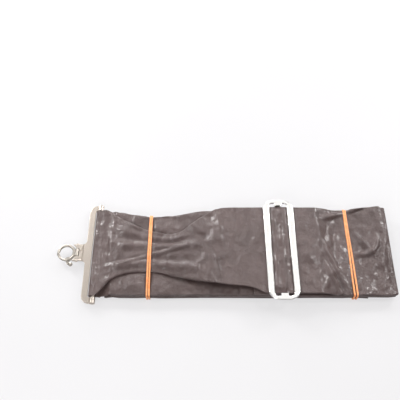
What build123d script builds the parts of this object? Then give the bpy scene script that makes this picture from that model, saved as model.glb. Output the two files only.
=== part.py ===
from build123d import *
from math import cos, radians, sin
import os

# Arm sling: a long soft strap folded into a bundle, with a swinging end fitting, a ring-shaped
# snap hook, and a slider that adjusts the strap. The bundle lies flat.
#
# X runs along the bundle, with the hook towards -X. Y runs across the strap. Z is up, and z = 0 is the
# surface that the bundle lies on. The origin is under the middle of the object.

# ---- driving dimensions, millimetres ----
HALF_LENGTH = 180.0  # from the origin to the tip of the hook, and to the folded end

STRAP_WIDTH = 100.0
STRAP_THICK = 1.6
LAYER_PITCH = 2.2  # from one layer of the bundle to the next
FOLD_RADIUS = 1.05  # centreline radius of a folded edge
LEFT_FOLD_X = -116.0  # the under-layers' left edge
FREE_END_X = 150.0  # the strap's free end, in the bottom layer
RETURN_END_X = 50.0  # the return run is cut here, beneath the part sewn to the slider

BAND_WIDTH = 1.9  # one turn of a rubber band
BAND_THICK = 1.0
BAND_GAP = 0.15  # from a band to the strap
BAND_TURN_PITCH = 2.2
BAND_CORNER_R = 0.6
BAND_SIDE_GAP = 0.5  # from a band to the strap's long edges
LEFT_BAND_X = -79.5
RIGHT_BAND_X = 135.5
BAND_LIFT = 1.3  # how far a band draws in the bottom layer
BUNDLE_WAIST = 8.0  # how far the left band draws in the bundle's far edge

FRAME_THICK = 2.2  # the sheet that the fitting and the slider are pressed from
STRIP_WIDTH = 6.6

FITTING_X = -149.0  # the end fitting's outer edge
FITTING_HALF = 57.4
FITTING_Z = 6.3  # height of the fitting's bar and of the hook
FITTING_BAR_X = -137.3
FITTING_BAR_R = 2.5
LOOP_R = 3.6  # centreline radius of the strap round the fitting bar
TENON_R = 1.5
BOSS_R = 3.2
RIVET_DOME_R = 3.0  # the bar's riveted ends
RIVET_DOME_HEIGHT = 0.6
ARM_INNER_Y = 51.1
FLANGE_WIDTH = 1.0
FLANGE_HEIGHT = 0.9

TONGUE_ROOT_HALF = 15.0
NOSE_HALF = 9.5
NOSE_THICK = 4.2  # the sheet is folded double here
NOSE_ROOT_X = -153.5
MOUTH_HALF = 4.5
MOUTH_END_X = -156.0
SEAM_WIDTH = 0.7

RING_R = 8.4  # centreline radius of the hook's ring
RING_WIRE_R = 1.6
RING_X = -HALF_LENGTH + RING_R + RING_WIRE_R
NEST_R = 11.6  # the hollow in the nose that the ring sits in
PIN_X = -158.8
PIN_R = 1.0
HUB_R = 2.2
HUB_HALF = 4.2

PIVOT_ANGLE = -75.0  # the gate's pivot on the ring
MEETING_ANGLE = 190.0  # where the ring's tip and the gate's tip meet
SCARF_SPAN = 14.0  # how far each wire runs on past it, before the slanting cut
SCARF_GAP = 0.15
GATE_WIRE_R = 1.3
EAR_R = 2.0
EAR_IN_Z = 1.15
EAR_OUT_Z = 1.95
ROOT_Z = 1.0  # half the thickness of the gate's flattened root
RIVET_R = 0.7
RIVET_HEAD_R = 1.3
RIVET_HEAD_THICK = 0.5
KNOB_R = 2.3
KNOB_X = -164.3
KNOB_Y = -13.5
SPRING_WIRE_R = 0.16
SPRING_R = 1.15
SPRING_TURNS = 2

SLIDER_X = 60.5
SLIDER_WIDTH = 33.0
SLIDER_HALF = 58.0
SLIDER_Z = 18.3  # underside of the slider's frame
SLIDER_CORNER_R = 12.0
WINDOW_HALF = 53.6
WINDOW_CORNER_R = 3.5
TAB_TIP_Y = 51.0
TAB_WIDTH = 8.0
BAR_WIDTH = 6.0
BAR_THICK = 2.0
BAR_Z = 12.45  # underside of the slider's centre bar
LEAF_GAP = 0.12  # from the slider bar to the cloth round it
BAR_BEND_R = 1.8
BAR_LEG_Y = 52.2
BAR_FOOT_Y = 56.5

FIXED_END_X = 15.0  # where the part sewn to the slider begins
LAP_END_X = 30.0  # the end of the lap, sewn down beneath the front run

STITCH_LENGTH = 2.4
STITCH_PITCH = 3.2
STITCH_WIDTH = 0.5
STITCH_HEIGHT = 0.25
STITCH_MARGIN = 4.0

# ---- heights that follow from them ----
BOTTOM_Z = STRAP_THICK / 2  # centreline of the bottom layer
RETURN_Z = BOTTOM_Z + 4 * LAYER_PITCH
FRONT_LEFT_Z = RETURN_Z + LAYER_PITCH
LOWER_LEAF_Z = BAR_Z - LEAF_GAP - STRAP_THICK / 2
UPPER_LEAF_Z = BAR_Z + BAR_THICK + LEAF_GAP + STRAP_THICK / 2
FRONT_HIGH_Z = SLIDER_Z - 0.3 - STRAP_THICK / 2
RIGHT_FOLD_X = HALF_LENGTH - STRAP_THICK / 2


def side_line(points, radii, shift):
    """The route moved sideways by shift, to its left when positive, its arcs keeping their centres."""
    spots = [Vector(*point) for point in points]
    ways = [(b - a).normalized() for a, b in zip(spots, spots[1:])]
    normals = [Vector(-way.Y, way.X) for way in ways]
    moved = [spots[0] + normals[0] * shift]
    bends = []
    for spot, radius, before, after in zip(spots[1:-1], radii, normals, normals[1:]):
        moved.append(spot + (before + after) * (shift / (1 + before.dot(after))))
        turn = before.cross(after).Z
        bends.append(radius - shift if turn > 0 else radius + shift)
    moved.append(spots[-1] + normals[-1] * shift)
    return FilletPolyline(*moved, radius=bends)


def ribbon(points, radii, thick=STRAP_THICK, width=STRAP_WIDTH, plane=Plane.XZ):
    """A band that follows a route of straight runs and arcs in a plane, and is as wide across it."""
    left = side_line(points, radii, thick / 2)
    right = side_line(points, radii, -thick / 2)
    ends = Line(left @ 0, right @ 0) + Line(left @ 1, right @ 1)
    profile = make_face(left + right + ends)
    return extrude(plane * profile, width / 2, both=True)


def level_run(x_from, x_to, z, lifts=()):
    """Route points of one level run, which a rubber band at each (x, lift) draws up or down."""
    step = 1 if x_to > x_from else -1
    points = [(x_from, z)]
    for x, lift in sorted(lifts, key=lambda item: item[0] * step):
        points += [(x - 14 * step, z), (x - 5 * step, z + lift)]
        points += [(x + 5 * step, z + lift), (x + 14 * step, z)]
    points.append((x_to, z))
    return points


def layer_lifts(layer):
    """How far each rubber band draws up an under-layer, counted from the bottom one."""
    lift = BAND_LIFT * (1 - layer / 5)
    return [(LEFT_BAND_X, lift), (RIGHT_BAND_X, lift)]


def corner_radius(point):
    """Tight at a fold, wide where a run bends gently."""
    x, z = point
    folded = x < LEFT_FOLD_X + 4 or x > RIGHT_FOLD_X - 4
    return FOLD_RADIUS if folded else 6.0


def strap_route():
    """The strap from its cut in the return run, round the fitting bar and through the slider, to
    the free end in the bottom layer."""
    loop_x = FITTING_BAR_X - LOOP_R
    loop_low = FITTING_Z - LOOP_R
    loop_high = FITTING_Z + LOOP_R
    route = level_run(RETURN_END_X, LEFT_FOLD_X - 3, RETURN_Z, layer_lifts(4)[:1])
    route += [(FITTING_BAR_X + 5, loop_low), (loop_x, loop_low), (loop_x, loop_high)]
    route += [(FITTING_BAR_X + 7, loop_high), (LEFT_FOLD_X, FRONT_LEFT_Z)]
    route += [(LEFT_BAND_X + 14, FRONT_LEFT_Z), (-5, FRONT_HIGH_Z), (101, FRONT_HIGH_Z)]
    route += [(120, RETURN_Z), (RIGHT_FOLD_X, RETURN_Z)]
    for layer in (3, 2, 1, 0):
        z = BOTTOM_Z + layer * LAYER_PITCH
        leftwards = layer in (3, 1)
        start = RIGHT_FOLD_X if leftwards else LEFT_FOLD_X
        end = LEFT_FOLD_X if leftwards else RIGHT_FOLD_X
        route += level_run(start, end if layer else FREE_END_X, z, layer_lifts(layer))
    return route


def strap_radii(route):
    """One bend radius for each inner point of the strap's route."""
    loop_x = FITTING_BAR_X - LOOP_R
    radii = []
    for x, z in route[1:-1]:
        if abs(x - loop_x) < 0.01:
            radii.append(LOOP_R - 0.05)
        elif x < LEFT_FOLD_X - 0.01 or (x == LEFT_FOLD_X and z == FRONT_LEFT_Z):
            radii.append(3.0)
        else:
            radii.append(corner_radius((x, z)))
    return radii


def edge_cutter(side, points, z_from, z_to):
    """The cloth that a waist takes off one long edge of the strap."""
    edge = Spline(*[(x, side * y) for x, y in points])
    first, last = points[0][0], points[-1][0]
    rim = side * (STRAP_WIDTH / 2 + 1)
    back = Polyline((last, side * points[-1][1]), (last, rim), (first, rim), (first, side * points[0][1]))
    return Pos(0, 0, z_from) * extrude(make_face(edge + back), z_to - z_from)


def sling_strap():
    """The whole strap. The left rubber band draws the bundle in a little at its far edge, and
    gathers the front run to less than half its width."""
    route = strap_route()
    strap = ribbon(route, strap_radii(route))
    half = STRAP_WIDTH / 2
    strap -= edge_cutter(1, [(-124, half), (-100, half - 5), (LEFT_BAND_X, half - BUNDLE_WAIST),
                             (-50, half - 6), (-20, half)], -1, 30)
    front = FRONT_LEFT_Z - LAYER_PITCH / 2
    strap -= edge_cutter(1, [(-128, half), (-112, 38), (LEFT_BAND_X, 23),
                             (-48, 19), (-26, 30), (-4, half)], front, 30)
    strap -= edge_cutter(-1, [(-134, half), (-120, 33), (LEFT_BAND_X, 24),
                              (-48, 31), (0, 40), (30, 44), (42, half)], front, 30)
    return strap


def strap_fixed_end():
    """The strap's other end: up to the slider bar, round it and back, sewn down on itself."""
    bar_right = SLIDER_X + BAR_WIDTH / 2 + 3 * LEAF_GAP + STRAP_THICK / 2
    route = [(FIXED_END_X, LOWER_LEAF_Z), (bar_right, LOWER_LEAF_Z), (bar_right, UPPER_LEAF_Z)]
    route += [(SLIDER_X - BAR_WIDTH / 2 - 1, UPPER_LEAF_Z)]
    route += [(SLIDER_X - BAR_WIDTH / 2 - 13, LOWER_LEAF_Z + STRAP_THICK + 0.05)]
    route += [(LAP_END_X, LOWER_LEAF_Z + STRAP_THICK + 0.05)]
    return ribbon(route, [1.6, 1.6, 4.0, 4.0])


def stitch_row(x, z, half_width):
    """One row of stitches across the strap."""
    count = int(2 * (half_width - STITCH_MARGIN) / STITCH_PITCH)
    start = -(count - 1) * STITCH_PITCH / 2
    box = Box(STITCH_WIDTH, STITCH_LENGTH, STITCH_HEIGHT)
    stitch = fillet(box.edges().filter_by(Axis.X), 0.1)
    return [Pos(x, start + i * STITCH_PITCH, z + STITCH_HEIGHT / 2) * stitch for i in range(count)]


def fixed_end_stitching():
    """Two rows through the lap at the slider."""
    top = LOWER_LEAF_Z + STRAP_THICK * 1.5 + 0.05
    half = STRAP_WIDTH / 2
    return Compound(children=stitch_row(LAP_END_X + 3, top, half) + stitch_row(LAP_END_X + 8, top, half))


def free_end_stitching():
    """Two rows that bind the free end."""
    half = STRAP_WIDTH / 2
    rows = [stitch_row(x, STRAP_THICK, half) for x in (107, 112)]
    return Compound(children=rows[0] + rows[1])


def band_turns(x, outline):
    """One rubber band, wound twice round the bundle on the given outline of (y, z) corners."""
    core = Polyline(*outline, close=True)
    face = make_face(Plane.YZ * core)
    inner = fillet(face.vertices(), BAND_CORNER_R)
    outer = offset(inner, BAND_THICK)
    turn = extrude(outer - inner, BAND_WIDTH / 2, both=True)
    side = BAND_TURN_PITCH / 2
    return Compound(children=[Pos(x - side, 0, 0) * turn, Pos(x + side, 0, 0) * turn])


def left_rubber_band():
    """The band near the hook, over the gathered front run."""
    low = BAND_LIFT - BAND_GAP
    shoulder = RETURN_Z + BAND_LIFT / 5 + STRAP_THICK / 2 + BAND_GAP
    top = FRONT_LEFT_Z + STRAP_THICK / 2 + BAND_GAP
    near = -STRAP_WIDTH / 2 - BAND_SIDE_GAP
    far = STRAP_WIDTH / 2 - BUNDLE_WAIST + BAND_SIDE_GAP
    outline = [(near, low), (near, shoulder), (-27, top), (26, top), (far, shoulder), (far, low)]
    return band_turns(LEFT_BAND_X, outline)


def right_rubber_band():
    """The band near the folded end."""
    low = BAND_LIFT - BAND_GAP
    top = RETURN_Z + STRAP_THICK / 2 + BAND_GAP
    half = STRAP_WIDTH / 2 + BAND_SIDE_GAP
    return band_turns(RIGHT_BAND_X, [(-half, low), (-half, top), (half, top), (half, low)])


def plan_plate(outline, thick):
    """A plate of the given plan outline, centred on the height of the fitting."""
    return Pos(0, 0, FITTING_Z - thick / 2) * extrude(outline, thick)


def fitting_outline():
    """Plan of the fitting's strip and its two end arms, open towards the strap."""
    arm_end = FITTING_BAR_X + BOSS_R
    outer = Pos((FITTING_X + arm_end) / 2, 0) * Rectangle(arm_end - FITTING_X, 2 * FITTING_HALF)
    left = outer.vertices().group_by(Axis.X)[0]
    outer = fillet(left, 8.5)
    slot_x = FITTING_X + STRIP_WIDTH
    slot = Pos((slot_x + arm_end + 2) / 2, 0) * Rectangle(arm_end + 2 - slot_x, 2 * ARM_INNER_Y)
    corners = slot.vertices().group_by(Axis.X)[0]
    return outer - fillet(corners, 2.5)


def tongue_outline():
    """Plan of the tongue, drawn in by two arcs from the strip to the nose."""
    root_x = FITTING_X + 1
    upper = Spline((root_x, TONGUE_ROOT_HALF), (NOSE_ROOT_X, NOSE_HALF), tangents=[(-0.35, -1), (-1, 0)])
    lower = mirror(upper, Plane.XZ)
    nose_x = RING_X + 3
    sides = Polyline((NOSE_ROOT_X, NOSE_HALF), (nose_x, NOSE_HALF), (nose_x, -NOSE_HALF),
                     (NOSE_ROOT_X, -NOSE_HALF))
    root = Line((root_x, TONGUE_ROOT_HALF), (root_x, -TONGUE_ROOT_HALF))
    return make_face(upper + sides + lower + root)


def fitting_frame():
    """The end fitting: a pressed strip with two arms, and a tongue folded double at its nose,
    which is forked and hollowed for the hook."""
    frame = plan_plate(fitting_outline(), FRAME_THICK)
    frame = fillet(frame.edges().filter_by(Axis.Y), 0.6)
    flange_x = FITTING_X + STRIP_WIDTH - FLANGE_WIDTH / 2
    flange = Box(FLANGE_WIDTH, 2 * ARM_INNER_Y - 6, FLANGE_HEIGHT + 0.5)
    frame += Pos(flange_x, 0, FITTING_Z + FRAME_THICK / 2 + FLANGE_HEIGHT / 2 - 0.25) * flange
    frame += plan_plate(tongue_outline(), FRAME_THICK)
    nose_length = NOSE_ROOT_X + 1 - (RING_X + 3)
    nose = Box(nose_length, 2 * NOSE_HALF, NOSE_THICK)
    nose = fillet(nose.edges().filter_by(Axis.X), 1.4)
    frame += Pos(NOSE_ROOT_X + 1 - nose_length / 2, 0, FITTING_Z) * nose
    for side in (1, -1):
        boss = Cylinder(BOSS_R, FITTING_HALF - ARM_INNER_Y - 0.4, rotation=(90, 0, 0))
        frame += Pos(FITTING_BAR_X, side * (FITTING_HALF + ARM_INNER_Y) / 2, FITTING_Z) * boss
    frame -= Pos(RING_X, 0, FITTING_Z) * Cylinder(NEST_R, 2 * NOSE_THICK)
    mouth_length = MOUTH_END_X - RING_X
    mouth = Box(mouth_length, 2 * MOUTH_HALF, 2 * NOSE_THICK)
    frame -= Pos(MOUTH_END_X - mouth_length / 2, 0, FITTING_Z) * mouth
    frame -= Pos(PIN_X, 0, FITTING_Z) * Cylinder(PIN_R, 4 * NOSE_HALF, rotation=(90, 0, 0))
    frame -= Pos(FITTING_BAR_X, 0, FITTING_Z) * Cylinder(TENON_R, 4 * FITTING_HALF, rotation=(90, 0, 0))
    seam = Pos(-153.0, 2.4, FITTING_Z + NOSE_THICK / 2) * Rot(0, 0, 18) * Box(8, SEAM_WIDTH, 1.2)
    return frame - seam


def fitting_bar():
    """The round bar that the strap's end loop turns on, riveted into the fitting's arms."""
    bar = Cylinder(FITTING_BAR_R, 2 * (ARM_INNER_Y - 0.3))
    bar += Cylinder(TENON_R, 2 * FITTING_HALF)
    for side in (1, -1):
        dome = Pos(0, 0, side * (FITTING_HALF - RIVET_DOME_R + RIVET_DOME_HEIGHT)) * Sphere(RIVET_DOME_R)
        outside = Pos(0, 0, side * (FITTING_HALF + RIVET_DOME_R)) * Box(8, 8, 2 * RIVET_DOME_R)
        bar += dome & outside
    return Pos(FITTING_BAR_X, 0, FITTING_Z) * Rot(90, 0, 0) * bar


def ring_point(angle, radius=RING_R):
    """A point of the hook's ring, by its angle from +X."""
    return (RING_X + radius * cos(radians(angle)), radius * sin(radians(angle)))


def ring_wire(start, end, wire_r):
    """A round wire along the hook's ring."""
    path = CenterArc((RING_X, 0), RING_R, start, end - start)
    section = Plane(origin=path @ 0, z_dir=path % 0) * Circle(wire_r)
    return sweep(section, path=path)


def scarf_cutter(side):
    """What the slanting cut at the tips takes off one side. The cut runs the way the gate's tip
    starts to move, so that the tip slides off the ring's tip without catching."""
    pivot = Vector(*ring_point(PIVOT_ANGLE))
    meeting = Vector(*ring_point(MEETING_ANGLE))
    arm = meeting - pivot
    slant = Vector(arm.Y, -arm.X)
    plane = Plane(origin=meeting, x_dir=slant, z_dir=(0, 0, 1))
    depth = 6.0
    return plane * Pos(0, side * (depth / 2 - SCARF_GAP / 2), 0) * Box(9, depth, 4 * RING_WIRE_R)


def hook():
    """The ring of the hook with its hub on the hook pin, and two ears that hold the gate."""
    wire = ring_wire(PIVOT_ANGLE + 13, MEETING_ANGLE + SCARF_SPAN, RING_WIRE_R)
    wire -= scarf_cutter(-1)
    hub = Cylinder(HUB_R, 2 * HUB_HALF, rotation=(90, 0, 0))
    neck = Box(4.4, 2 * HUB_HALF - 1.2, 2 * RING_WIRE_R)
    body = wire + Pos(PIN_X, 0, 0) * hub + Pos(PIN_X - 2.2, 0, 0) * neck
    pivot_x, pivot_y = ring_point(PIVOT_ANGLE)
    lug_x, lug_y = ring_point(PIVOT_ANGLE + 15)
    for side in (1, -1):
        ear = Pos(pivot_x, pivot_y) * Circle(EAR_R)
        link = make_hull((ear + Pos(lug_x, lug_y) * Circle(EAR_R - 0.6)).edges())
        ear_z = EAR_IN_Z if side > 0 else -EAR_OUT_Z
        body += Pos(0, 0, ear_z) * extrude(link, EAR_OUT_Z - EAR_IN_Z)
    body -= Pos(PIN_X, 0, 0) * Cylinder(PIN_R + 0.06, 4 * HUB_HALF, rotation=(90, 0, 0))
    body -= Pos(pivot_x, pivot_y, 0) * Cylinder(RIVET_R, 8)
    root_room = Cylinder(EAR_R + 0.35, 2 * EAR_IN_Z)
    body -= Pos(pivot_x, pivot_y, 0) * root_room
    return Pos(0, 0, FITTING_Z) * body


def hook_pin():
    """The cross pin through the fork of the nose and the hook's hub."""
    half = NOSE_HALF + 0.1
    pin = Cylinder(PIN_R, 2 * half)
    for side in (1, -1):
        pin += Pos(0, 0, side * (half + 0.3)) * Cylinder(PIN_R + 0.6, 0.6)
    return Pos(PIN_X, 0, FITTING_Z) * Rot(90, 0, 0) * pin


def gate():
    """The gate: a wire that closes the ring, a flat root on the rivet, and a tail with a knob."""
    pivot_x, pivot_y = ring_point(PIVOT_ANGLE)
    wire = ring_wire(MEETING_ANGLE - SCARF_SPAN - 360, PIVOT_ANGLE - 17, GATE_WIRE_R)
    wire -= scarf_cutter(1)
    neck_x, neck_y = ring_point(PIVOT_ANGLE - 20)
    root = make_hull((Pos(pivot_x, pivot_y) * Circle(EAR_R) + Pos(neck_x, neck_y) * Circle(1.2)).edges())
    elbow = (KNOB_X - 3.0, KNOB_Y + 0.9)
    tail = make_hull((Pos(pivot_x, pivot_y) * Circle(1.6) + Pos(*elbow) * Circle(1.2)).edges())
    tail += make_hull((Pos(*elbow) * Circle(1.2) + Pos(KNOB_X, KNOB_Y) * Circle(1.2)).edges())
    body = Pos(0, 0, -ROOT_Z) * extrude(root + tail, 2 * ROOT_Z)
    body += wire
    body += Pos(KNOB_X, KNOB_Y, 0) * Sphere(KNOB_R)
    body -= Pos(pivot_x, pivot_y, 0) * Cylinder(RIVET_R + 0.05, 8)
    body -= Pos(pivot_x, pivot_y, 0.5 + ROOT_Z / 2) * Cylinder(SPRING_R + 0.3, 1.0 + ROOT_Z)
    return Pos(0, 0, FITTING_Z) * body


def gate_rivet():
    """The rivet that the gate turns on."""
    pivot_x, pivot_y = ring_point(PIVOT_ANGLE)
    rivet = Cylinder(RIVET_R, 2 * EAR_OUT_Z)
    for side in (1, -1):
        head = Cylinder(RIVET_HEAD_R, RIVET_HEAD_THICK)
        rivet += Pos(0, 0, side * (EAR_OUT_Z + RIVET_HEAD_THICK / 2)) * head
    return Pos(pivot_x, pivot_y, FITTING_Z) * rivet


def gate_spring():
    """The small torsion spring coiled round the rivet inside the gate's root."""
    pivot_x, pivot_y = ring_point(PIVOT_ANGLE)
    pitch = 2.2 * SPRING_WIRE_R
    coil = Helix(pitch, SPRING_TURNS * pitch, SPRING_R - SPRING_WIRE_R)
    section = Plane(origin=coil @ 0, z_dir=coil % 0) * Circle(SPRING_WIRE_R)
    wire = sweep(section, path=coil)
    return Pos(pivot_x, pivot_y, FITTING_Z + SPRING_WIRE_R + 0.03) * wire


def slider_frame():
    """The slider's pressed frame: an oblong with one long window and a tab at each end of it."""
    outline = RectangleRounded(SLIDER_WIDTH, 2 * SLIDER_HALF, SLIDER_CORNER_R)
    window = RectangleRounded(SLIDER_WIDTH - 2 * STRIP_WIDTH, 2 * WINDOW_HALF, WINDOW_CORNER_R)
    for side in (1, -1):
        tab = Rectangle(TAB_WIDTH, WINDOW_HALF - TAB_TIP_Y + 1)
        window -= Pos(0, side * (WINDOW_HALF + TAB_TIP_Y + 1) / 2) * tab
    frame = extrude(outline - window, FRAME_THICK)
    long_edges = frame.edges().filter_by(Axis.Y)
    frame = fillet(long_edges, 0.9)
    return Pos(SLIDER_X, 0, SLIDER_Z) * frame


def slider_bar():
    """The slider's centre bar: a flat strip stepped down below the frame, brazed to its ends."""
    foot_z = SLIDER_Z - BAR_THICK / 2
    bar_z = BAR_Z + BAR_THICK / 2
    points = [(-BAR_FOOT_Y, foot_z), (-BAR_LEG_Y, foot_z), (-BAR_LEG_Y, bar_z),
              (BAR_LEG_Y, bar_z), (BAR_LEG_Y, foot_z), (BAR_FOOT_Y, foot_z)]
    bar = ribbon(points, [BAR_BEND_R] * 4, BAR_THICK, BAR_WIDTH, Plane.YZ)
    sides = bar.faces().sort_by(Axis.X)
    bar = fillet(sides[0].edges() + sides[-1].edges(), 0.6)
    return Pos(SLIDER_X, 0, 0) * bar


NODES = (
    sling_strap, strap_fixed_end, fixed_end_stitching, free_end_stitching, left_rubber_band,
    right_rubber_band, fitting_frame, fitting_bar, hook, hook_pin, gate, gate_rivet, gate_spring,
    slider_frame, slider_bar,
)

os.makedirs("parts", exist_ok=True)
for make in NODES:
    export_step(make(), f"parts/{make.__name__}.step")
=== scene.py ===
from math import atan2, ceil, cos, pi, radians, sin, sqrt, tan

import bpy
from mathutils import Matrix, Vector, noise


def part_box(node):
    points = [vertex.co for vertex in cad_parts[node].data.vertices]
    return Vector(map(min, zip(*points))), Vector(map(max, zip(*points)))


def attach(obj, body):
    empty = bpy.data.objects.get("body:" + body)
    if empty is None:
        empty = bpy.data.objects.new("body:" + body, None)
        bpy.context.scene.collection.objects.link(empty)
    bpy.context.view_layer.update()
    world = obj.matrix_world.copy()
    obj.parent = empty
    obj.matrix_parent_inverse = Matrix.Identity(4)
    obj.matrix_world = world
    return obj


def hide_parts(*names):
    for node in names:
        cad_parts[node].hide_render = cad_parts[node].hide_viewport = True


# Arm sling: the looks. Lengths in the shape functions are in millimetres, and new_mesh turns them
# into Blender's metres. X runs along the bundle with the hook towards -X, Y runs across the strap,
# and z = 0 is the surface that the bundle lies on.

MM = 0.001
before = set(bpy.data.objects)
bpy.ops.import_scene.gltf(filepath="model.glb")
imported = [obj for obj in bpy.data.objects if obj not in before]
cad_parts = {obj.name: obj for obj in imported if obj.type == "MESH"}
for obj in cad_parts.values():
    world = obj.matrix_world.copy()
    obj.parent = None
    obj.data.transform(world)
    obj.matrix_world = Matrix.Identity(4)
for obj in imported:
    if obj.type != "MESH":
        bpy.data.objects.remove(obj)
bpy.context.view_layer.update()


def box(node):
    """The lowest and the highest corner of a CAD node, in millimetres."""
    low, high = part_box(node)
    return low / MM, high / MM


# ---- places that come from the CAD parts in model.glb ----
strap_low, strap_high = box("sling_strap")
bar_low, bar_high = box("fitting_bar")
slider_low, slider_high = box("slider_frame")
slider_bar_low, slider_bar_high = box("slider_bar")
fixed_low, fixed_high = box("strap_fixed_end")
left_band_low, left_band_high = box("left_rubber_band")
right_band_low, right_band_high = box("right_rubber_band")

STRAP_HALF = strap_high.y
THICK = 1.5
HALF_LAYER = THICK / 2 + 0.05
LAYER_PITCH = 2.2
FOLD_R = 1.05
BOTTOM_Z = HALF_LAYER
RETURN_Z = BOTTOM_Z + 4 * LAYER_PITCH
FRONT_LEFT_Z = RETURN_Z + LAYER_PITCH
RIGHT_FOLD_X = strap_high.x - THICK / 2
FREE_END_X = RIGHT_FOLD_X - 29.25

FITTING_BAR_X = (bar_low.x + bar_high.x) / 2
FITTING_Z = (bar_low.z + bar_high.z) / 2
LOOP_R = FITTING_BAR_X - strap_low.x - HALF_LAYER
LEFT_FOLD_X = FITTING_BAR_X + 21.3

SLIDER_X = (slider_low.x + slider_high.x) / 2
SLIDER_Z = slider_low.z
SLIDER_TOP = slider_high.z
SLIDER_HALF_WIDTH = (slider_high.x - slider_low.x) / 2
SLIDER_FRAME_WIDTH = 6.6
SLIDER_GAP = 0.15
WINDOW_HALF_WIDTH = SLIDER_HALF_WIDTH - SLIDER_FRAME_WIDTH
FRONT_HIGH_Z = SLIDER_Z - SLIDER_GAP - THICK / 2
RETURN_START_X = SLIDER_X - 10.5

# The front run stays flat between these, where the slider travels.
TRAVEL_LEFT_X = slider_low.x - 40
TRAVEL_RIGHT_X = slider_high.x + 20
RISE_END_X = TRAVEL_LEFT_X - 9

LEFT_BAND_X = (left_band_low.x + left_band_high.x) / 2
RIGHT_BAND_X = (right_band_low.x + right_band_high.x) / 2
BAND_LIFT = 1.3
BAND_THICK = 1.0
BAND_WIDTH = 1.8
BAND_APART = 1.95
BAND_GAP = 0.15

TUCK_R = 1.05
FLARE_OUT = 3.0
FLARE_UP = 4.5

CAMERA_PLACE = Vector((-25.6, -248, 550))
CAMERA_TILT = 30  # degrees from straight down


# ---------------------------------------------------------------- helpers for shapes

def ease(x, start, end):
    """0 before start, 1 after end, and smooth between them."""
    t = min(1, max(0, (x - start) / (end - start)))
    return t * t * (3 - 2 * t)


def hill(x, centre, reach):
    """1 at centre, and 0 further away than reach."""
    return 1 - ease(abs(x - centre), 0, reach)


def curve_through(*knots):
    """A smooth function through (x, value) knots, level before the first and after the last."""
    secants = [(b[1] - a[1]) / (b[0] - a[0]) for a, b in zip(knots, knots[1:])]
    slopes = [0] + [(a + b) / 2 for a, b in zip(secants, secants[1:])] + [0]

    def value(x):
        if x <= knots[0][0]:
            return knots[0][1]
        for i, (start, end) in enumerate(zip(knots, knots[1:])):
            if x < end[0]:
                span = end[0] - start[0]
                t = (x - start[0]) / span
                rise = t * t * (3 - 2 * t)
                bend_in = t * (1 - t) ** 2 * span * slopes[i]
                bend_out = t * t * (1 - t) * span * slopes[i + 1]
                return start[1] + (end[1] - start[1]) * rise + bend_in - bend_out
        return knots[-1][1]

    return value


def ripple(x, y, size, seed=0.0):
    """Smooth noise from -1 to 1 whose humps are about size across."""
    return noise.noise(Vector((x / size, y / size, seed)))


def crease(x, y, size, seed=0.0):
    """Noise from 0 to 1 with narrow ridges, like creases in cloth."""
    return 1 - min(1, 2.6 * abs(ripple(x, y, size, seed)))


def rounded(points, radii, closed=False):
    """Points along a route of straight runs, whose corners are arcs."""
    spots = [Vector(point) for point in points]
    if closed:
        triples = [(spots[i - 1], spots[i], spots[(i + 1) % len(spots)]) for i in range(len(spots))]
        line = []
    else:
        triples = list(zip(spots, spots[1:], spots[2:]))
        line = [spots[0]]
    for (before, corner, after), radius in zip(triples, radii):
        way_in = (corner - before).normalized()
        way_out = (after - corner).normalized()
        turn = atan2(way_in.x * way_out.y - way_in.y * way_out.x, way_in.dot(way_out))
        start = corner - way_in * radius * tan(abs(turn) / 2)
        side = 1 if turn > 0 else -1
        centre = start + Vector((-way_in.y, way_in.x)) * radius * side
        arm = start - centre
        steps = max(2, ceil(abs(turn) / 0.3))
        for i in range(steps + 1):
            angle = turn * i / steps
            spin = Vector((arm.x * cos(angle) - arm.y * sin(angle),
                           arm.x * sin(angle) + arm.y * cos(angle)))
            line.append(centre + spin)
    if not closed:
        line.append(spots[-1])
    return line


def divided(line, step_at):
    """The same line with more points: no two are further apart than step_at(point) there."""
    out = [line[0]]
    for a, b in zip(line, line[1:]):
        parts = max(1, ceil((b - a).length / step_at((a + b) / 2)))
        out += [a.lerp(b, i / parts) for i in range(1, parts + 1)]
    return out


def lengths_along(line):
    """How far along the line each of its points is."""
    total = [0.0]
    for a, b in zip(line, line[1:]):
        total.append(total[-1] + (b - a).length)
    return total


def new_mesh(name, points, faces, uvs=None):
    """A mesh object from points in millimetres. uvs, in millimetres too, has one pair a point."""
    mesh = bpy.data.meshes.new(name)
    mesh.from_pydata([tuple(point * MM) for point in points], [], faces)
    for polygon in mesh.polygons:
        polygon.use_smooth = True
    if uvs:
        layer = mesh.uv_layers.new(name="cloth")
        for loop in mesh.loops:
            u, v = uvs[loop.vertex_index]
            layer.data[loop.index].uv = (u * MM, v * MM)
    mesh.update()
    piece = bpy.data.objects.new(name, mesh)
    bpy.context.scene.collection.objects.link(piece)
    return piece


def across_steps(half):
    """Places across the cloth, close together near its two edges, where it curls."""
    edge = [0, 0.15, 0.45, 0.9, 1.4, 1.9, 2.4, 3.0, 3.6, 4.4, 5.4, 6.6, 8, 10]
    inner = half - edge[-1]
    middle = [-inner + 2 * inner * i / 44 for i in range(1, 44)]
    return [e - half for e in edge] + middle + [half - e for e in reversed(edge)]


def thickness_at(distance):
    """Half the cloth's thickness, which is rounded off at its edge."""
    r = THICK / 2
    d = min(distance, r)
    return r * max(0.3, sqrt(1 - (1 - d / r) ** 2))


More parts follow.
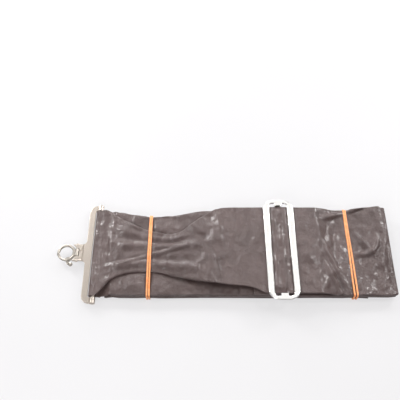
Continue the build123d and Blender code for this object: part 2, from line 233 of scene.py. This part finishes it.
def cloth_piece(name, rows, across, along):
    """A closed thin sheet round a grid of middle points, rows[i][j]. across and along are the
    cloth's own measures at each column and row."""
    count, columns = len(rows), len(across)
    top, bottom, uvs = [], [], []
    for i, row in enumerate(rows):
        before = rows[max(0, i - 1)]
        after = rows[min(count - 1, i + 1)]
        for j, point in enumerate(row):
            way = after[j] - before[j]
            side = row[min(columns - 1, j + 1)] - row[max(0, j - 1)]
            normal = way.cross(side).normalized()
            half = thickness_at(min(across[j] - across[0], across[-1] - across[j]))
            top.append(point + normal * half)
            bottom.append(point - normal * half)
            uvs.append((along[i], across[j]))
    shift = len(top)
    faces = []
    for i in range(count - 1):
        for j in range(columns - 1):
            a = i * columns + j
            b = a + columns
            faces.append((a, b, b + 1, a + 1))
            faces.append((shift + a, shift + a + 1, shift + b + 1, shift + b))
        for a, b in ((i * columns, (i + 1) * columns),
                     ((i + 2) * columns - 1, (i + 1) * columns - 1)):
            faces.append((a, shift + a, shift + b, b))
    last = (count - 1) * columns
    for j in range(columns - 1):
        faces.append((j, j + 1, shift + j + 1, shift + j))
        faces.append((last + j, shift + last + j, shift + last + j + 1, last + j + 1))
    return new_mesh(name, top + bottom, faces, uvs + uvs)


# ---------------------------------------------------------------- the strap

def by_left_band(*knots):
    """A smooth function of x through (distance from the left band, value) knots."""
    return curve_through(*[(LEFT_BAND_X + distance, value) for distance, value in knots])


# How far each edge of the front run is from the bundle's middle line, and the bundle's far edge.
front_far = by_left_band((-51.5, STRAP_HALF), (-32.5, 38), (0, 23), (29.5, 20),
                         (48.5, 33), (67.5, 46), (87.5, STRAP_HALF))
front_near = by_left_band((-56.5, STRAP_HALF), (-40.5, 33), (0, 24), (31.5, 31),
                          (79.5, 40), (109.5, 44), (123.5, STRAP_HALF))
bundle_far = by_left_band((-44.5, STRAP_HALF), (-20.5, 45), (0, 42), (29.5, 44),
                          (59.5, STRAP_HALF))
# How much of each edge of the front run is tucked under it.
tuck_far = by_left_band((-52.5, 0), (-32.5, 5), (0, 9), (31.5, 9), (53.5, 4), (71.5, 0))
tuck_near = by_left_band((-56.5, 0), (-38.5, 5), (0, 9), (39.5, 6), (65.5, 2), (89.5, 0))
# How strongly the left band gathers the front run into pleats.
gather = by_left_band((-54.5, 0), (-32.5, 0.7), (-12, 1), (0, 0.55), (12, 1), (34.5, 0.8), (71.5, 0))


def strap_route():
    """The strap's middle line: the return run, round the fitting bar, through the slider, and the
    layers of the bundle down to the free end."""
    loop_x = FITTING_BAR_X - LOOP_R
    low, high = FITTING_Z - LOOP_R, FITTING_Z + LOOP_R
    points = [(RETURN_START_X, RETURN_Z), (LEFT_FOLD_X - 3, RETURN_Z), (FITTING_BAR_X + 5, low)]
    radii = [5, 3]
    points += [(loop_x, low), (loop_x, high), (FITTING_BAR_X + 7, high)]
    radii += [LOOP_R - 0.05, LOOP_R - 0.05, 4]
    points += [(LEFT_FOLD_X, FRONT_LEFT_Z), (LEFT_BAND_X + 14, FRONT_LEFT_Z)]
    radii += [8, 40]
    points += [(RISE_END_X, FRONT_HIGH_Z), (TRAVEL_RIGHT_X + 4, FRONT_HIGH_Z)]
    points.append((TRAVEL_RIGHT_X + 23, RETURN_Z))
    radii += [40, 8, 8]
    fold_places = {4: RIGHT_FOLD_X, 3: LEFT_FOLD_X - 2, 2: RIGHT_FOLD_X - 0.9, 1: LEFT_FOLD_X - 9}
    for layer in (4, 3, 2, 1):
        fold_x = fold_places[layer]
        z = BOTTOM_Z + layer * LAYER_PITCH
        points += [(fold_x, z), (fold_x, z - LAYER_PITCH)]
        radii += [FOLD_R, FOLD_R]
    points.append((FREE_END_X, BOTTOM_Z))
    return points, radii


def front_step(spot):
    """Rows lie closer together on the front run and the return run than in the hidden layers."""
    if spot.y > FRONT_LEFT_Z - 1.5 or spot.x < LEFT_FOLD_X - 3 or spot.x > RIGHT_FOLD_X - 4:
        return 1.7
    if spot.y > RETURN_Z - 0.6:
        return 1.7 if spot.x > TRAVEL_RIGHT_X + 3 else 2.5
    return 7.0


def crinkle(x, y):
    """Small sharp creases in the far half, on both sides of the left band."""
    where = ease(y, 4, 20) * hill(x, LEFT_BAND_X + 18, 62) * (1 - 0.8 * hill(x, LEFT_BAND_X, 8))
    return where * crease(x * 0.8 + y * 0.5, y * 0.8 - x * 0.3, 11, 2.7) ** 2


def front_heights(x, c, y):
    """How far the front run's middle surface lies above its route at x, for the cloth c from its
    middle line, which is y from the bundle's."""
    across = c / STRAP_HALF
    pull = gather(x)
    middle = 1 - across * across
    drift = 0.5 * ripple(x, 0, 34, 3.1)
    pleats = 0.6 * sin(9.5 * across + 2.4 * drift + 0.9) + 0.4 * sin(17 * across - 1.2 + 3 * drift)
    lift = pull * (1.5 * middle + 1.7 * pleats * min(1, 1.6 * middle))
    ridge_y = (x - LEFT_BAND_X) * 0.27 - 6.715
    ridge = hill(x, LEFT_BAND_X + 5, 62) * hill(y, ridge_y, 3.4) * (1 - 0.7 * hill(x, LEFT_BAND_X, 7))
    lift += 2.1 * ridge
    lift += 1.5 * crinkle(x, y)
    swell = 1.9 * hill(x, FITTING_BAR_X + 6, 5.5) + 1.1 * hill(x, FITTING_BAR_X + 16, 5)
    lift += swell * (0.75 + 0.35 * ripple(y, x, 18, 1.7))
    loose = ease(x, FITTING_BAR_X + 1, FITTING_BAR_X + 9)
    lift += loose * (1.0 * ripple(x, y, 15, 5.3) + 0.5 * ripple(x, y, 6.5, 2.2))
    creases = crease(x * 0.9 + y * 0.2, y * 0.35, 10, 8.1) ** 2
    lift += 2.0 * creases * hill(x, TRAVEL_LEFT_X - 22, 34)
    under_slider = ease(x, RISE_END_X, TRAVEL_LEFT_X)
    under_slider *= 1 - ease(x, TRAVEL_RIGHT_X, TRAVEL_RIGHT_X + 12)
    dents = 0.32 * crease(x * 1.6, y * 0.5, 12, 8.8) ** 2 + 0.09 * (1 + ripple(x, y * 0.5, 5, 4.1))
    return lift * (1 - under_slider) - dents * under_slider


def right_heights(x, y):
    """The folds of the top layer round the right band."""
    wander = 3.5 * (1 + ripple(0, y, 22, 4.4))
    start = ease(x - wander, TRAVEL_RIGHT_X + 1, TRAVEL_RIGHT_X + 14)
    end = 1 - ease(x, RIGHT_FOLD_X - 9, RIGHT_FOLD_X - 1)
    pressed = 1 - 0.96 * hill(x, RIGHT_BAND_X, 8)
    from_travel = x - TRAVEL_RIGHT_X
    slant = (from_travel - 2) * 0.92 + (y - 2) * 0.39
    fold = 3.6 * hill(slant, 0, 4.2) * ease(-y, -24, -6)
    fold += 2.2 * hill(slant, 9, 4) * ease(-y, -34, -8)
    fan = (from_travel - 9) * 0.30 - (y - 37) * 0.95
    fold += 2.8 * hill(fan, 0, 3.6) * ease(y, 26, 36)
    beyond = ease(x, RIGHT_BAND_X + 2, RIGHT_BAND_X + 12)
    from_band = x - RIGHT_BAND_X
    sweep = (from_band - 8.5) * 0.82 + (y - 18) * 0.57
    fold += beyond * 3.2 * hill(sweep, 0, 3.4) * ease(y, -12, 2)
    arc = sqrt((from_band - 11.5) ** 2 + (y - 14) ** 2) - 19
    fold += beyond * 2.6 * hill(arc, 0, 3.4) * ease(-y, -28, -12)
    bulge = 0.8 * hill(x, RIGHT_BAND_X + 14, 17) * (1 + 0.5 * ripple(y, x, 26, 9.4))
    loose = 0.9 * (1 + ripple(x, y, 16, 6.6)) + 0.45 * ripple(x, y, 7, 1.9)
    return start * end * pressed * (fold + bulge + loose)


def flare(x, z):
    """0 to 1: how far the top layer is from the right band's grip, at the folded end."""
    return ease(x, RIGHT_BAND_X + 4, RIGHT_FOLD_X - 3) * ease(z, RETURN_Z - LAYER_PITCH, RETURN_Z)


def flare_height(x, y, z):
    """How far the flared end stands up, most at its far edge."""
    return FLARE_UP * flare(x, z) * ease(y, -35, 50)


def return_heights(x, y):
    """The return run, which shows where the gathered front run leaves it bare."""
    bare_near = ease(-y, front_near(x) - 1, front_near(x) + 7)
    bare_far = ease(y, front_far(x) - 1, front_far(x) + 7)
    from_band = x - LEFT_BAND_X
    bare = max(bare_near, bare_far) * (1 - ease(from_band, 43.5, 55.5)) * ease(from_band, -42.5, -28.5)
    away = 1 - 0.9 * hill(x, LEFT_BAND_X, 8)
    slant = ripple(x * 0.9 + y * 0.5, y * 0.9 - x * 0.35, 12, 7.7)
    wrinkles = 0.9 + 1.1 * slant + 0.4 * ripple(x, y, 6, 3.9)
    edge = 1 - ease(abs(y), STRAP_HALF - 9, STRAP_HALF)
    return bare * away * (wrinkles + 1.3 * crinkle(x, y)) * (0.25 + 0.75 * edge)


def under_lift(x, z):
    """How far the rubber bands draw up the under-layers at x."""
    share = 1 - (z - BOTTOM_Z) / LAYER_PITCH / 5
    drawn = 0
    for band_x in (LEFT_BAND_X, RIGHT_BAND_X):
        drawn += 1 - ease(abs(x - band_x), 4, 14)
    return BAND_LIFT * max(0, share) * drawn


def front_point(x, z, c):
    """A point of the front run. Where it is gathered, its edges are tucked under."""
    side = 1 if c > 0 else -1
    edge = front_far(x) + FLARE_OUT * flare(x, z) if c > 0 else front_near(x)
    tuck = tuck_far(x) if c > 0 else tuck_near(x)
    reach = TUCK_R * sin(min(pi / 2, tuck / TUCK_R))
    flat = STRAP_HALF - tuck
    out = min(abs(c), flat) / flat * (edge - reach)
    below = 0
    turned = abs(c) - flat
    if turned > 0:
        angle = min(pi, turned / TUCK_R)
        out += TUCK_R * sin(angle)
        out -= max(0, turned - pi * TUCK_R)
        below = TUCK_R * (1 - cos(angle))
    y = side * out
    height = front_heights(x, c, y) + right_heights(x, y) + flare_height(x, y, z)
    return Vector((x, y, z + height - below))


def layer_point(x, z, c, along):
    """A point of the return run or of an under-layer."""
    side = 1 if c > 0 else -1
    edge = bundle_far(x) if c > 0 else STRAP_HALF
    edge -= 0.6 + 0.8 * ripple(along, side * 40, 60, z)
    near_fold = max(hill(x, RIGHT_FOLD_X, 7), hill(x, LEFT_FOLD_X, 6))
    edge -= 0.9 * near_fold
    if c > 0:
        edge += FLARE_OUT * flare(x, z)
    y = c / STRAP_HALF * edge
    height = under_lift(x, z) + flare_height(x, y, z)
    if z > RETURN_Z - 0.7:
        height = return_heights(x, y) + height
    else:
        height += 0.1 * ripple(x, y, 20, z)
    return Vector((x, y, z + height))


def sling_cloth():
    points, radii = strap_route()
    line = divided(rounded(points, radii), front_step)
    along = lengths_along(line)
    across = across_steps(STRAP_HALF)
    turning = max(range(len(line)), key=lambda i: -line[i].x)
    fold = next(i for i in range(turning, len(line)) if line[i].x > RIGHT_FOLD_X - 0.2)
    rows = []
    for i, spot in enumerate(line):
        if turning - 3 < i < fold - 6:
            rows.append([front_point(spot.x, spot.y, c) for c in across])
        else:
            rows.append([layer_point(spot.x, spot.y, c, along[i]) for c in across])
    piece = cloth_piece("strap_cloth", rows, across, along)
    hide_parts("sling_strap")
    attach(piece, "strap")
    return piece


def window_hump():
    """The front run where it bulges up through the slider's window, over the bar."""
    half = WINDOW_HALF_WIDTH + 1.8
    across = across_steps(STRAP_HALF + 0.3)
    count = 40
    foot = SLIDER_Z - 0.35 - THICK / 2
    crown = SLIDER_TOP - 0.6 - THICK / 2
    rows = []
    for i in range(count + 1):
        t = -1 + 2 * i / count
        arch = ease(1 - abs(t), 0.08, 0.62)
        row = []
        for c in across:
            ridges = 0.55 * sin(9.5 * t + 2.2 * ripple(0, c, 30, 2.5))
            ridges += 0.4 * ripple(t * 14, c * 0.5, 4, 6.1)
            ends = 1 - 0.75 * ease(abs(c), STRAP_HALF - 7, STRAP_HALF)
            swell = arch * (0.92 + 0.08 * ripple(0, c, 22, 9.9)) * ends
            z = foot + (crown - foot) * swell + ridges * arch * ends
            row.append(Vector((SLIDER_X + half * t, c, z)))
        rows.append(row)
    along = [2 * half * i / count for i in range(count + 1)]
    piece = cloth_piece("strap_over_slider_bar", rows, across, along)
    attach(piece, "slider")
    return piece


def fixed_end_cloth():
    """The strap's end that is sewn round the slider's bar."""
    lower = fixed_low.z + HALF_LAYER
    upper = fixed_high.z - HALF_LAYER
    right = fixed_high.x - HALF_LAYER
    lap = lower + 1.65
    left_of_bar = slider_bar_low.x - 1
    points = [(fixed_low.x, lower), (right, lower), (right, upper), (left_of_bar, upper)]
    points += [(left_of_bar - 12, lap), (fixed_low.x + 15, lap)]
    line = divided(rounded(points, [1.6, 1.6, 4, 4]), lambda spot: 1.5)
    along = lengths_along(line)
    across = across_steps(STRAP_HALF)
    rows = []
    for spot in line:
        places = [c * (1 - 0.004 * ripple(spot.x, c, 12)) for c in across]
        rows.append([Vector((spot.x, place, spot.y)) for place in places])
    piece = cloth_piece("fixed_end_cloth", rows, across, along)
    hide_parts("strap_fixed_end")
    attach(piece, "slider")
    return piece


# ---------------------------------------------------------------- rubber bands

def band_section():
    """The rounded section of a rubber band, as (along the bundle, outwards) points."""
    corner = 0.32
    w, t = BAND_WIDTH / 2 - corner, BAND_THICK / 2 - corner
    section = []
    for x, y, start in ((w, t, 0), (-w, t, pi / 2), (-w, -t, pi), (w, -t, 3 * pi / 2)):
        for i in range(4):
            angle = start + i * pi / 6
            section.append((x + corner * cos(angle), y + corner * sin(angle)))
    return section


def rubber_band(name, node, x, outline, radii, splay):
    """A band wound twice round the bundle. Its two turns lie side by side, cross at the far side,
    and stand apart by splay towards the near side."""
    loop = rounded(outline, radii, closed=True)
    loop = divided(loop + [loop[0]], lambda spot: 1.5)[:-1]
    far = max(range(len(loop)), key=lambda i: (loop[i].x, -abs(loop[i].y - 6)))
    loop = loop[far:] + loop[:far]
    along = lengths_along(loop + [loop[0]])
    total = along[-1]
    section = band_section()
    points, uvs = [], []
    count = len(loop)
    half_crossing = 4.0
    for turn in (0, 1):
        for i, spot in enumerate(loop):
            travelled = along[i]
            nearest_end = min(travelled, total - travelled)
            way = (loop[(i + 1) % count] - loop[i - 1]).normalized()
            out = Vector((way.y, -way.x))
            first_half = travelled < total / 2
            shift = ease(nearest_end, -half_crossing, half_crossing) * 2 - 1
            over = (turn == 0) == first_half
            sign = 1 if turn else -1
            rise = 1.06 * hill(nearest_end, 0, half_crossing * 1.6) if over else 0
            apart = BAND_APART / 2 + splay * ease(-spot.x, -40, 50)
            wander = 0.25 * ripple(travelled, turn * 9, 22, x)
            place_x = x + sign * shift * apart + wander
            for across, outward in section:
                place = spot + out * (outward + rise)
                points.append(Vector((place_x + across, place.x, place.y)))
                uvs.append((travelled + turn * total, across))
    rings, size = 2 * count, len(section)
    faces = []
    for i in range(rings):
        after = (i + 1) % rings
        for j in range(size):
            k = (j + 1) % size
            faces.append((i * size + j, i * size + k, after * size + k, after * size + j))
    piece = new_mesh(name, points, faces, uvs)
    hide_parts(node)
    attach(piece, "strap")
    return piece


def left_band():
    """Round the gathered front run."""
    offset = BAND_GAP + BAND_THICK / 2
    top = FRONT_LEFT_Z + 1.35 + THICK / 2 + offset
    shoulder = RETURN_Z + BAND_LIFT / 5 + THICK / 2 + offset
    near = -STRAP_HALF - 0.2 - offset
    far = bundle_far(LEFT_BAND_X) + 0.2 + offset
    low = BAND_LIFT - offset + 0.05
    outline = [(near, low), (near, shoulder), (-25, top - 0.9), (-8, top), (9, top)]
    outline += [(24, top - 0.9), (far, shoulder), (far, low)]
    return rubber_band("left_rubber_band_loop", "left_rubber_band", LEFT_BAND_X, outline,
                       [1.4, 1.6, 6, 20, 20, 6, 1.6, 1.4], 0.2)


def right_band():
    offset = BAND_GAP + BAND_THICK / 2
    top = RETURN_Z + THICK / 2 + offset
    half = STRAP_HALF + 0.2 + offset
    low = BAND_LIFT - offset + 0.05
    outline = [(-half, low), (-half, top), (half, top), (half, low)]
    return rubber_band("right_rubber_band_loop", "right_rubber_band", RIGHT_BAND_X, outline,
                       [1.4, 1.8, 1.8, 1.4], 0.6)


# ---------------------------------------------------------------- materials

class Nodes:
    """A small helper that adds nodes to a material and links them."""

    def __init__(self, name):
        self.material = bpy.data.materials.new(name)
        self.material.use_nodes = True
        self.tree = self.material.node_tree
        self.shader = self.tree.nodes["Principled BSDF"]

    def add(self, kind, inputs=None, **settings):
        node = self.tree.nodes.new("ShaderNode" + kind)
        for key, value in settings.items():
            setattr(node, key, value)
        for key, value in (inputs or {}).items():
            self.put(node.inputs[key], value)
        return node

    def put(self, socket, value):
        if isinstance(value, bpy.types.NodeSocket):
            self.tree.links.new(value, socket)
        else:
            socket.default_value = value

    def set(self, **inputs):
        for key, value in inputs.items():
            self.put(self.shader.inputs[key.replace("_", " ")], value)

    def math(self, operation, a, b=0.0):
        return self.add("Math", {0: a, 1: b}, operation=operation).outputs[0]

    def noise(self, vector, scale, detail=3.0, roughness=0.5):
        inputs = {"Vector": vector, "Scale": scale, "Detail": detail, "Roughness": roughness}
        return self.add("TexNoise", inputs).outputs["Fac"]

    def ridges(self, vector, scale, detail):
        """Noise with sharp ridges, like creases."""
        inputs = {"Vector": vector, "Scale": scale, "Detail": detail}
        return self.add("TexNoise", inputs, noise_type="RIDGED_MULTIFRACTAL").outputs["Fac"]

    def spread(self, value, low, high, from_low=0.3, from_high=0.7):
        """value, taken from one range to another."""
        inputs = {0: value, 1: from_low, 2: from_high, 3: low, 4: high}
        return self.add("MapRange", inputs).outputs[0]

    def blend(self, share, first, second):
        node = self.add("Mix", data_type="RGBA")
        self.put(node.inputs["Factor"], share)
        self.put(node.inputs[6], (*first, 1) if isinstance(first, tuple) else first)
        self.put(node.inputs[7], (*second, 1) if isinstance(second, tuple) else second)
        return node.outputs[2]

    def bump(self, height, strength, distance, below=None):
        inputs = {"Height": height, "Strength": strength, "Distance": distance}
        if below:
            inputs["Normal"] = below
        return self.add("Bump", inputs).outputs["Normal"]


def cloth_material():
    """Dark brown plain-woven cloth, slightly glossy and creased, paler where it has rubbed."""
    m = Nodes("strap_cloth")
    uv = m.add("UVMap", uv_map="cloth").outputs["UV"]
    place = m.add("TexCoord").outputs["Object"]
    split = m.add("SeparateXYZ", {"Vector": uv})
    pitch = 0.9 * MM
    warp = m.math("SINE", m.math("MULTIPLY", split.outputs["X"], 2 * pi / pitch))
    weft = m.math("SINE", m.math("MULTIPLY", split.outputs["Y"], 2 * pi / pitch))
    weave = m.math("MULTIPLY", warp, weft)
    slubs = m.noise(m.add("Mapping", {"Vector": uv, "Scale": (0.25, 1, 1)}).outputs[0], 900, 2)
    cloudy = m.noise(place, 28, 4)
    rubbed = m.noise(place, 85, 5, 0.6)
    dark = m.blend(m.spread(cloudy, 0, 1), (0.060, 0.037, 0.034), (0.090, 0.059, 0.055))
    dusty = m.blend(m.spread(rubbed, 0, 0.45, 0.5, 0.75), dark, (0.128, 0.093, 0.088))
    thread = m.blend(m.spread(weave, 0.0, 0.35, -1, 1), dusty, (0.036, 0.024, 0.023))
    crinkled = m.bump(m.ridges(place, 170, 2), 0.3, 1.0 * MM)
    creased = m.bump(m.ridges(place, 60, 4), 0.8, 3.2 * MM, crinkled)
    stretched = m.add("Mapping", {"Vector": place, "Scale": (1, 0.4, 1)}).outputs[0]
    soft_folds = m.bump(m.noise(stretched, 50, 2, 0.4), 0.75, 8 * MM, creased)
    wrinkles = m.bump(m.noise(place, 150, 3, 0.5), 0.5, 2 * MM, soft_folds)
    yarn = m.bump(m.math("ADD", weave, slubs), 0.5, 0.14 * MM, wrinkles)
    m.set(Base_Color=thread, Roughness=m.spread(rubbed, 0.34, 0.5), Normal=yarn)
    m.set(Sheen_Weight=0.12, Sheen_Roughness=0.4, Sheen_Tint=(0.9, 0.8, 0.78, 1))
    m.set(Specular_IOR_Level=0.38, Coat_Weight=0.36, Coat_Roughness=0.19)
    m.set(Coat_Normal=wrinkles)
    return m.material


def thread_material():
    """Twisted sewing thread, a little paler than the cloth."""
    m = Nodes("strap_thread")
    place = m.add("TexCoord").outputs["Object"]
    wave = {"Vector": place, "Scale": 900, "Distortion": 1.0}
    twist = m.add("TexWave", wave, bands_direction="DIAGONAL")
    colour = m.blend(m.noise(place, 500), (0.10, 0.078, 0.074), (0.19, 0.155, 0.148))
    m.set(Base_Color=colour, Roughness=m.spread(m.noise(place, 700), 0.42, 0.6))
    m.set(Normal=m.bump(twist.outputs["Fac"], 0.5, 0.1 * MM), Sheen_Weight=0.2)
    return m.material


def metal_material(name, clean, dull, smooth, rough, scratch_depth):
    """Plated metal: cloudy where it has dulled, with fine scratches."""
    m = Nodes(name)
    place = m.add("TexCoord").outputs["Object"]
    cloudy = m.noise(place, 120, 5, 0.6)
    streaks = {"Vector": place, "Scale": (1, 0.06, 1), "Rotation": (0, 0, 0.5)}
    scratches = m.noise(m.add("Mapping", streaks).outputs[0], 2600, 2)
    grain = m.noise(place, 1500, 3)
    m.set(Base_Color=m.blend(m.spread(cloudy, 0, 1), clean, dull), Metallic=1.0)
    m.set(Roughness=m.math("ADD", m.spread(cloudy, smooth, rough), m.spread(grain, 0, 0.05)))
    lines = m.bump(scratches, scratch_depth, 0.05 * MM)
    m.set(Normal=m.bump(cloudy, 0.05, 0.4 * MM, lines))
    return m.material


def rubber_material():
    """Orange natural rubber, slightly translucent, with cut sides and a dusty bloom."""
    m = Nodes("orange_rubber")
    place = m.add("TexCoord").outputs["Object"]
    bloom = m.noise(place, 260, 4)
    colour = m.blend(m.spread(bloom, 0, 1), (0.74, 0.25, 0.075), (0.78, 0.35, 0.15))
    m.set(Base_Color=colour, Roughness=m.spread(bloom, 0.38, 0.6))
    m.set(Normal=m.bump(m.noise(place, 1800, 3), 0.35, 0.08 * MM), Subsurface_Weight=0.15)
    m.shader.inputs["Subsurface Scale"].default_value = 1.0 * MM
    m.shader.inputs["Subsurface Radius"].default_value = (1.0, 0.5, 0.2)
    return m.material


def floor_material():
    """Pale, and lit a little from within, so that it doesn't darken far away from the lights."""
    m = Nodes("pale_floor")
    place = m.add("TexCoord").outputs["Object"]
    colour = m.blend(m.noise(place, 6, 3), (0.17, 0.168, 0.172), (0.19, 0.188, 0.192))
    m.set(Base_Color=colour, Roughness=0.8, Specular_IOR_Level=0.2)
    m.set(Emission_Color=(1, 0.99, 1, 1), Emission_Strength=0.62)
    return m.material


def give(piece, material):
    """The piece wears the material all over."""
    if not piece.data.materials:
        piece.data.materials.append(material)
    for i in range(len(piece.data.materials)):
        piece.data.materials[i] = material


# ---------------------------------------------------------------- building

def build_object():
    cloth = cloth_material()
    for piece in (sling_cloth(), window_hump(), fixed_end_cloth()):
        give(piece, cloth)
    rubber = rubber_material()
    for piece in (left_band(), right_band()):
        give(piece, rubber)
    thread = thread_material()
    for node in ("fixed_end_stitching", "free_end_stitching"):
        give(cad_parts[node], thread)
    # One nickel in three copies: the fitting's and the hook's base colours are darker than the
    # slider's as painted shade, for how light fell on them. The slider's is the lit copy.
    satin_shaded_nickel = metal_material("fitting_nickel", (0.56, 0.50, 0.445), (0.50, 0.44, 0.385), 0.3, 0.36, 0.2)
    bright = metal_material("slider_nickel", (0.87, 0.86, 0.84), (0.81, 0.80, 0.77), 0.2, 0.26, 0.2)
    steel = metal_material("spring_steel", (0.62, 0.62, 0.63), (0.50, 0.49, 0.48), 0.2, 0.34, 0.3)
    shaded_hook_nickel = metal_material("hook_nickel", (0.44, 0.405, 0.365), (0.38, 0.345, 0.305), 0.3, 0.38, 0.2)
    for node in ("fitting_frame", "fitting_bar", "hook_pin"):
        give(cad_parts[node], satin_shaded_nickel)
    for node in ("hook", "gate", "gate_rivet"):
        give(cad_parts[node], shaded_hook_nickel)
    for node in ("slider_frame", "slider_bar"):
        give(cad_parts[node], bright)
    give(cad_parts["gate_spring"], steel)


def soft_light(name, place, aim, size, power):
    """A square soft light, places in millimetres."""
    data = bpy.data.lights.new(name, "AREA")
    data.size = size * MM
    data.energy = power
    light = bpy.data.objects.new(name, data)
    light.location = Vector(place) * MM
    light.rotation_euler = (Vector(aim) - Vector(place)).to_track_quat("-Z", "Y").to_euler()
    bpy.context.scene.collection.objects.link(light)


def surround():
    """Pale all round. Its light is whiter from overhead than from the horizon, so that bright metal
    has something to show."""
    world = bpy.data.worlds.new("studio")
    world.use_nodes = True
    tree = world.node_tree
    place = tree.nodes.new("ShaderNodeTexCoord")
    split = tree.nodes.new("ShaderNodeSeparateXYZ")
    ramp = tree.nodes.new("ShaderNodeValToRGB")
    ramp.color_ramp.elements[0].color = (0.45, 0.44, 0.44, 1)
    ramp.color_ramp.elements[1].color = (1.0, 0.99, 0.98, 1)
    ramp.color_ramp.elements[1].position = 0.75
    tree.links.new(place.outputs["Generated"], split.inputs[0])
    tree.links.new(split.outputs["Z"], ramp.inputs["Fac"])
    light = tree.nodes["Background"]
    light.inputs["Strength"].default_value = 0.32
    tree.links.new(ramp.outputs["Color"], light.inputs["Color"])
    backdrop = tree.nodes.new("ShaderNodeBackground")
    backdrop.inputs["Color"].default_value = (0.80, 0.795, 0.80, 1)
    seen = tree.nodes.new("ShaderNodeLightPath")
    mix = tree.nodes.new("ShaderNodeMixShader")
    tree.links.new(seen.outputs["Is Camera Ray"], mix.inputs["Fac"])
    tree.links.new(light.outputs[0], mix.inputs[1])
    tree.links.new(backdrop.outputs[0], mix.inputs[2])
    tree.links.new(mix.outputs[0], tree.nodes["World Output"].inputs["Surface"])
    bpy.context.scene.world = world


def studio():
    """A pale floor, a white surround and soft lights, small enough to glint on creases and metal."""
    reach = 3000
    corners = ((-reach, -reach), (reach, -reach), (reach, reach), (-reach, reach))
    floor = new_mesh("floor", [Vector((x, y, 0)) for x, y in corners], [(0, 1, 2, 3)])
    give(floor, floor_material())
    surround()
    soft_light("top_light", (60, 420, 950), (0, 0, 0), 600, 1.0)
    soft_light("key_light", (-520, 480, 380), (-40, 0, 0), 180, 4.7)
    soft_light("right_light", (520, 420, 400), (80, 0, 0), 140, 3.0)
    soft_light("front_light", (-220, -520, 480), (0, 0, 0), 200, 2.4)
    soft_light("far_light", (-160, 860, 270), (0, 0, 0), 160, 1.8)
    soft_light("high_left_light", (-560, 60, 560), (0, 0, 0), 90, 1.1)
    soft_light("high_right_light", (430, 90, 600), (0, 0, 0), 90, 1.3)
    soft_light("back_light", (0, 1500, 700), (0, 900, 0), 900, 10)
    bpy.context.scene.view_settings.view_transform = "Standard"


def camera():
    data = bpy.data.cameras.new("camera")
    data.lens = 49.5
    data.sensor_width = 36
    data.clip_start = 0.01
    view = bpy.data.objects.new("camera", data)
    view.location = CAMERA_PLACE * MM
    view.rotation_euler = (radians(CAMERA_TILT), 0, 0)
    bpy.context.scene.collection.objects.link(view)
    bpy.context.scene.camera = view


build_object()
studio()
camera()
